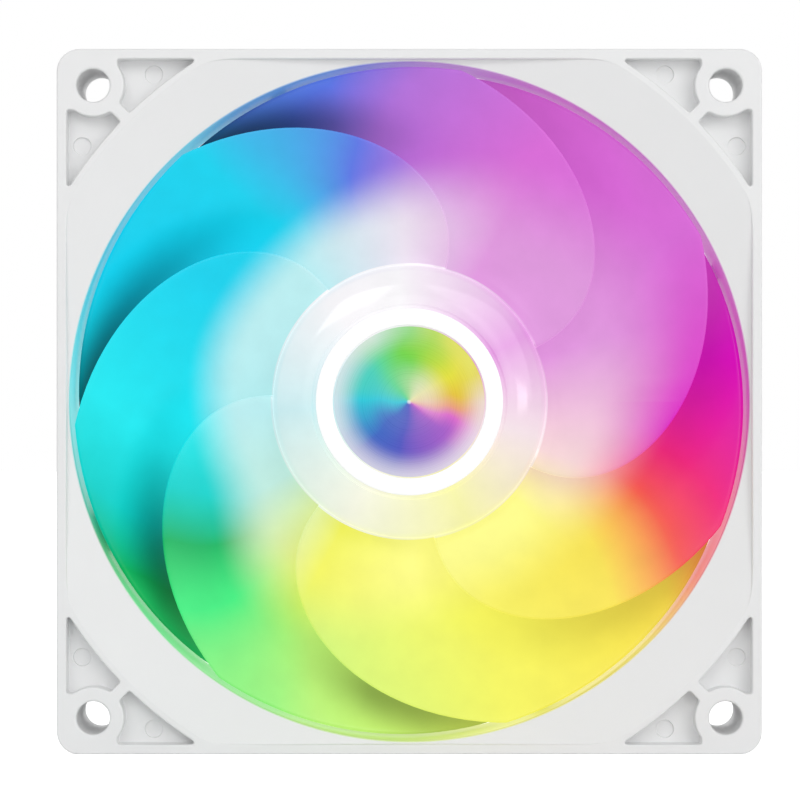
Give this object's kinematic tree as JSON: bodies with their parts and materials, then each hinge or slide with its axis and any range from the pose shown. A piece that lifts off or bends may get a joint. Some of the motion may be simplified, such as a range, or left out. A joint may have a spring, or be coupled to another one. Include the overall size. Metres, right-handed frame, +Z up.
{
  "type": "case fan",
  "caption": "Slim white computer case fan with a square screw-mount frame, a frosted impeller lit in rainbow colours and an outer-rotor motor on a sleeve bearing.",
  "frame": {"origin": "centre of the fan: on the rotor's axis, half way through the frame's depth", "axes": "+Z up, +X to the right seen from the front, front face towards -Y, rotor axis along Y"},
  "size_m": [0.092, 0.015, 0.092],
  "materials": {
    "white_plastic": "matte moulded",
    "frosted_plastic": "frosted translucent, lit from the hub",
    "gloss_white": "gloss",
    "rainbow_foil": "iridescent foil",
    "steel": "plain",
    "brass": "turned",
    "bronze": "sintered",
    "ferrite": "matte",
    "copper": "enamelled wire",
    "nylon": "matte",
    "black_plastic": "matte",
    "board_green": "solder mask",
    "ceramic": "matte",
    "led_white": "clear resin"
  },
  "bodies": {
    "frame": {"frame": "white_plastic", "bearing_tube": "brass", "bearing_bush": "bronze", "oil_seal": "nylon", "thrust_pad": "nylon", "end_cap": "white_plastic", "stator_core": "steel", "insulator_front": "nylon", "insulator_rear": "nylon", "coil_1": "copper", "coil_2": "copper", "coil_3": "copper", "coil_4": "copper", "terminal_pin_1": "steel", "terminal_pin_2": "steel", "terminal_pin_3": "steel", "circuit_board": "board_green", "driver_chip": "black_plastic", "capacitor": "ceramic", "diode": "black_plastic", "resistor": "ceramic", "led_1": "led_white", "led_2": "led_white", "led_3": "led_white", "led_4": "led_white", "led_5": "led_white", "led_6": "led_white", "led_7": "led_white", "led_8": "led_white"},
    "rotor": {"impeller": "frosted_plastic", "hub_ring": "gloss_white", "hub_disc": "rainbow_foil", "yoke": "steel", "magnet": "ferrite", "shaft": "steel", "shaft_insert": "brass", "retaining_clip": "steel"}
  },
  "joints": [
    {"name": "rotor_spin", "type": "hinge", "parent": "frame", "child": "rotor", "pos_m": [0, 0, 0], "axis": [0, -1, 0], "continuous": true}
  ]
}
